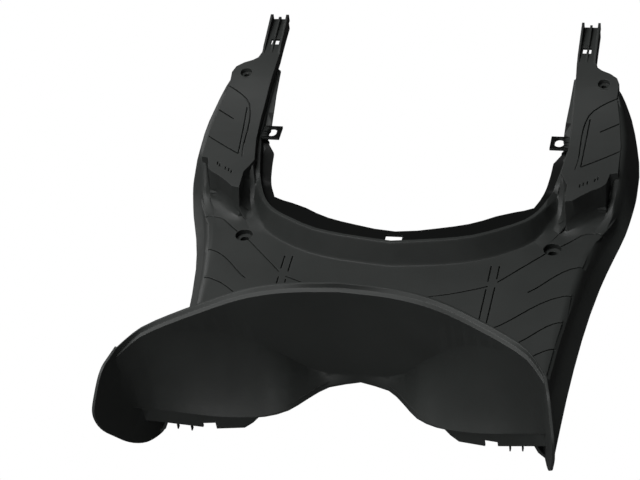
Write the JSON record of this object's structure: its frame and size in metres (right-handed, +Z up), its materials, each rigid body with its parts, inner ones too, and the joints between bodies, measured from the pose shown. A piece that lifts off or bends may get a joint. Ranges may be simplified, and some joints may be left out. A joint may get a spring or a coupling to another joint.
{
  "type": "scooter floorboard",
  "caption": "Moulded step-through scooter floorboard with a tall front toe wall, flared skirts, raised rear footrest arms and a U-shaped rear cut-out.",
  "frame": {"origin": "bottom centre of the panel's bounding box", "axes": "+X to the right and +Y to the rear of the scooter, +Z up, normal to the flat tread"},
  "size_m": [0.458, 0.6234, 0.175],
  "materials": {
    "black_plastic": "satin, finely textured moulding"
  },
  "bodies": {
    "root": {"scooter_floorboard": "black_plastic"}
  },
  "joints": []
}
